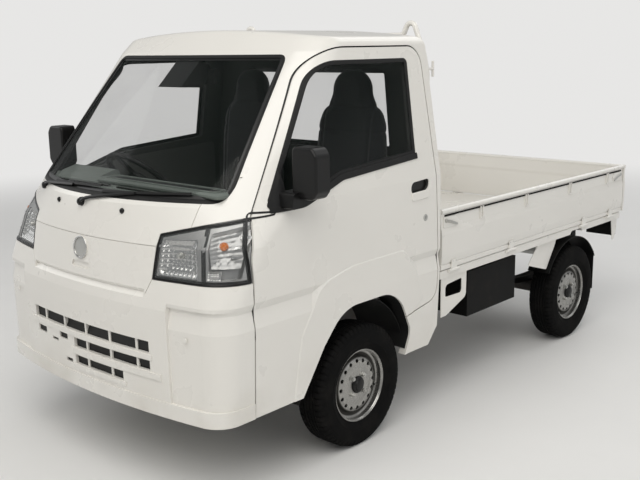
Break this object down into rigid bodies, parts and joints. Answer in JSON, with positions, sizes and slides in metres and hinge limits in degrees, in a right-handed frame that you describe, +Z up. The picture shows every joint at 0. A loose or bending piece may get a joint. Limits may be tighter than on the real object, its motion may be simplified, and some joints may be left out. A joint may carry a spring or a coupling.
{
  "type": "kei truck",
  "caption": "Small cab-over pickup truck with a short rounded cab, hinged doors, a flat load bed with three drop-down gates, a tubular guard frame and steel wheels.",
  "frame": {"origin": "on the ground under the centre of the truck's overall box", "axes": "+X to the truck's left, -Y forwards along its length, +Z up"},
  "size_m": [1.748, 3.3958, 1.7799],
  "materials": {
    "white_paint": "gloss",
    "frame_paint": "satin",
    "wheel_silver": "satin",
    "black_paint": "satin",
    "iron": "matte",
    "black_plastic": "matte",
    "dash_plastic": "matte",
    "lamp_reflector": "gloss",
    "lamp_red": "gloss",
    "glass": "gloss",
    "tyre_rubber": "matte",
    "seat_cloth": "matte",
    "aluminium": "satin"
  },
  "bodies": {
    "chassis": {"bed_floor": "white_paint", "cab_floor": "frame_paint", "cab_frame": "white_paint", "cab_rear_wall": "white_paint", "cab_roof": "white_paint", "cowl_panel": "white_paint", "dashboard": "dash_plastic", "door_hinges": "frame_paint", "emblem_panel": "white_paint", "engine_block": "iron", "front_bumper": "white_paint", "front_suspension": "black_paint", "fuel_tank": "black_paint", "guard_frame": "white_paint", "headlamp_housings": "lamp_reflector", "headlamp_lenses": "glass", "interior_mirror": "black_plastic", "ladder_frame": "frame_paint", "leaf_springs": "black_paint", "mudguards": "black_paint", "muffler": "aluminium", "radiator": "aluminium", "rear_axle": "iron", "cab_glass": "glass", "seat_backs": "seat_cloth", "seat_cushions": "seat_cloth", "tail_lamps": "lamp_red", "wheel_housings": "black_plastic", "wipers": "black_plastic"},
    "door_left": {"door_left": "white_paint", "door_glass_left": "glass", "door_fittings_left": "black_plastic"},
    "door_right": {"door_right": "white_paint", "door_glass_right": "glass", "door_fittings_right": "black_plastic"},
    "gate_left": {"gate_left": "white_paint"},
    "gate_right": {"gate_right": "white_paint"},
    "tailgate": {"tailgate": "white_paint"},
    "knuckle_left": {"knuckle_left": "iron"},
    "knuckle_right": {"knuckle_right": "iron"},
    "steering_wheel": {"steering_wheel": "black_plastic"},
    "wheel_front_left": {"rim_front_left": "wheel_silver", "tyre_front_left": "tyre_rubber"},
    "wheel_front_right": {"rim_front_right": "wheel_silver", "tyre_front_right": "tyre_rubber"},
    "wheel_rear_left": {"rim_rear_left": "wheel_silver", "tyre_rear_left": "tyre_rubber"},
    "wheel_rear_right": {"rim_rear_right": "wheel_silver", "tyre_rear_right": "tyre_rubber"}
  },
  "joints": [
    {"name": "door_left_swing", "type": "hinge", "parent": "chassis", "child": "door_left", "pos_m": [0.731, -1.433, 0.7], "axis": [0, 0, -1], "range_deg": [0, 65]},
    {"name": "door_right_swing", "type": "hinge", "parent": "chassis", "child": "door_right", "pos_m": [-0.731, -1.433, 0.7], "axis": [0, 0, 1], "range_deg": [0, 65]},
    {"name": "gate_left_drop", "type": "hinge", "parent": "chassis", "child": "gate_left", "pos_m": [0.7295, 0.7, 0.646], "axis": [0, 1, 0], "range_deg": [0, 175]},
    {"name": "gate_right_drop", "type": "hinge", "parent": "chassis", "child": "gate_right", "pos_m": [-0.7295, 0.7, 0.646], "axis": [0, -1, 0], "range_deg": [0, 175]},
    {"name": "tailgate_drop", "type": "hinge", "parent": "chassis", "child": "tailgate", "pos_m": [0, 1.6895, 0.646], "axis": [-1, 0, 0], "range_deg": [0, 175]},
    {"name": "steer_left", "type": "hinge", "parent": "chassis", "child": "knuckle_left", "pos_m": [0.6005, -0.8275, 0.266], "axis": [0, 0, 1], "range_deg": [-35, 35]},
    {"name": "steer_right", "type": "hinge", "parent": "chassis", "child": "knuckle_right", "pos_m": [-0.6005, -0.8275, 0.266], "axis": [0, 0, 1], "range_deg": [-35, 35]},
    {"name": "steering_wheel_turn", "type": "hinge", "parent": "chassis", "child": "steering_wheel", "pos_m": [-0.33, -1.13, 1.095], "axis": [0, 0.7071, 0.7071], "range_deg": [-600, 600]},
    {"name": "wheel_front_left_spin", "type": "hinge", "parent": "knuckle_left", "child": "wheel_front_left", "pos_m": [0.6525, -0.8275, 0.266], "axis": [1, 0, 0], "continuous": true},
    {"name": "wheel_front_right_spin", "type": "hinge", "parent": "knuckle_right", "child": "wheel_front_right", "pos_m": [-0.6525, -0.8275, 0.266], "axis": [1, 0, 0], "continuous": true},
    {"name": "wheel_rear_left_spin", "type": "hinge", "parent": "chassis", "child": "wheel_rear_left", "pos_m": [0.65, 1.0725, 0.266], "axis": [1, 0, 0], "continuous": true},
    {"name": "wheel_rear_right_spin", "type": "hinge", "parent": "chassis", "child": "wheel_rear_right", "pos_m": [-0.65, 1.0725, 0.266], "axis": [1, 0, 0], "continuous": true}
  ],
  "couplings": [
    {"joint": "steer_right", "follows": "steer_left", "ratio": 1},
    {"joint": "steering_wheel_turn", "follows": "steer_left", "ratio": 17}
  ]
}
